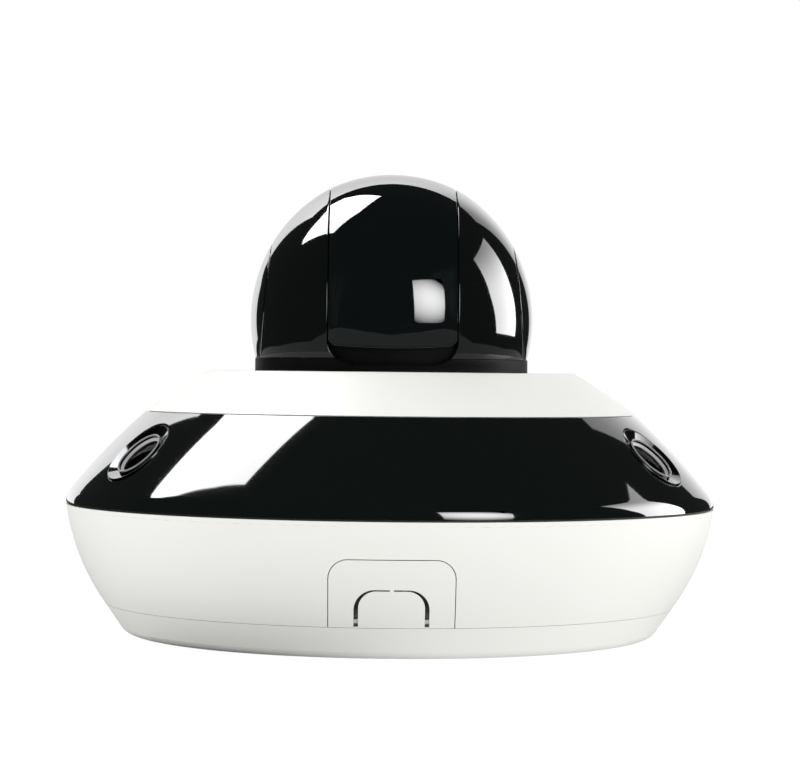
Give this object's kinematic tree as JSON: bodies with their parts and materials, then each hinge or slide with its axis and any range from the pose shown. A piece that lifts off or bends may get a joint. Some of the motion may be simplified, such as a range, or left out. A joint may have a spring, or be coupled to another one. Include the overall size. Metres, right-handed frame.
{
  "type": "dome security camera",
  "caption": "Ceiling dome camera with a pan and tilt zoom ball on top and fixed lenses in a sloped band around it.",
  "frame": {"origin": "centre of the flat mounting face, which rests on the ceiling or on a table", "axes": "+Z out of the mounting face towards the ball; -Y to the front, where the cable cover is; +X to the right seen from the front"},
  "size_m": [0.25, 0.25, 0.1776],
  "materials": {
    "white_shell": "warm white moulded plastic, fine satin",
    "black_band": "piano black, polished",
    "black_shell": "glossy black",
    "smoked_window": "smoked clear plastic, dark enough to look black",
    "lens_glass": "coated optical glass",
    "dark_chrome": "dark chrome",
    "black_inner": "black moulded plastic, matt",
    "aluminium": "cast and machined",
    "steel": "zinc plated",
    "gear_plastic": "natural acetal",
    "brass": "turned brass",
    "rubber": "soft black rubber",
    "circuit_board": "green solder mask",
    "terminal_green": "green terminal plastic",
    "chip_black": "moulded chip package",
    "button_grey": "grey plunger"
  },
  "bodies": {
    "base": {"mounting_base": "white_shell", "lock_screws": "steel", "main_housing": "white_shell", "cable_cover": "white_shell", "housing_gasket": "rubber", "lens_band": "black_band", "collar": "white_shell", "turret_seal": "rubber", "chassis": "aluminium", "inner_screws": "steel", "collar_standoffs": "aluminium", "main_board": "circuit_board", "processor": "chip_black", "thermal_pad": "rubber", "network_jack": "black_inner", "cable_grommet": "rubber", "terminal_block": "terminal_green", "card_slot": "black_inner", "reset_switch": "chip_black", "pan_motor": "steel", "pan_bearing_outer": "steel", "lens_sensor_boards": "circuit_board", "lens_bezel_1": "dark_chrome", "lens_window_1": "lens_glass", "lens_barrel_1": "black_inner", "lens_bracket_1": "aluminium", "lens_bezel_2": "dark_chrome", "lens_window_2": "lens_glass", "lens_barrel_2": "black_inner", "lens_bracket_2": "aluminium", "lens_bezel_3": "dark_chrome", "lens_window_3": "lens_glass", "lens_barrel_3": "black_inner", "lens_bracket_3": "aluminium"},
    "turret": {"turret_shell": "black_shell", "turret_cap_left": "black_shell", "turret_cap_right": "black_shell", "yoke": "aluminium", "yoke_screws": "steel", "pan_gear": "gear_plastic", "pan_bearing_inner": "steel", "retaining_ring": "steel", "tilt_bushes": "brass", "tilt_motor": "steel"},
    "drum": {"drum_window": "smoked_window", "drum_rear_cover": "black_inner", "tilt_frame": "aluminium", "tilt_gear": "gear_plastic", "zoom_barrel": "black_inner", "zoom_front_lens": "lens_glass", "zoom_sensor_board": "circuit_board"},
    "pan_pinion": {"pan_pinion": "brass"},
    "pan_bearing_balls": {"pan_bearing_balls": "steel"},
    "tilt_pinion": {"tilt_pinion": "brass"},
    "zoom_group": {"zoom_group": "lens_glass"},
    "focus_group": {"focus_group": "lens_glass"},
    "infrared_filter": {"infrared_filter": "lens_glass"},
    "reset_button": {"reset_button": "button_grey"},
    "memory_card": {"memory_card": "chip_black"}
  },
  "joints": [
    {"name": "pan", "type": "hinge", "parent": "base", "child": "turret", "pos_m": [0, 0, 0.0465], "axis": [0, 0, 1], "range_deg": [-175, 175]},
    {"name": "pan_pinion_spin", "type": "hinge", "parent": "base", "child": "pan_pinion", "pos_m": [0, -0.054, 0.0592], "axis": [0, 0, 1], "range_deg": [-1401, 1401]},
    {"name": "pan_balls_spin", "type": "hinge", "parent": "base", "child": "pan_bearing_balls", "pos_m": [0, 0, 0.0465], "axis": [0, 0, 1], "range_deg": [-80, 80]},
    {"name": "tilt", "type": "hinge", "parent": "turret", "child": "drum", "pos_m": [0, 0, 0.1211], "axis": [-1, 0, 0], "range_deg": [0, 90]},
    {"name": "tilt_pinion_spin", "type": "hinge", "parent": "turret", "child": "tilt_pinion", "pos_m": [-0.03175, 0, 0.0995], "axis": [-1, 0, 0], "range_deg": [-451, 1]},
    {"name": "zoom_slide", "type": "slide", "parent": "drum", "child": "zoom_group", "axis": [0, 1, 0], "range_m": [0, 0.006]},
    {"name": "focus_slide", "type": "slide", "parent": "drum", "child": "focus_group", "axis": [0, 1, 0], "range_m": [0, 0.003]},
    {"name": "filter_slide", "type": "slide", "parent": "drum", "child": "infrared_filter", "axis": [1, 0, 0], "range_m": [0, 0.01]},
    {"name": "reset_press", "type": "slide", "parent": "base", "child": "reset_button", "axis": [0, 0, 1], "range_m": [0, 0.0006], "stiffness_N_per_m": 800, "springref_m": -0.0003},
    {"name": "card_slide", "type": "slide", "parent": "base", "child": "memory_card", "axis": [0, 0, -1], "range_m": [0, 0.012]}
  ],
  "couplings": [
    {"joint": "pan_pinion_spin", "follows": "pan", "ratio": -8},
    {"joint": "pan_balls_spin", "follows": "pan", "ratio": 0.4514},
    {"joint": "tilt_pinion_spin", "follows": "tilt", "ratio": -5}
  ]
}
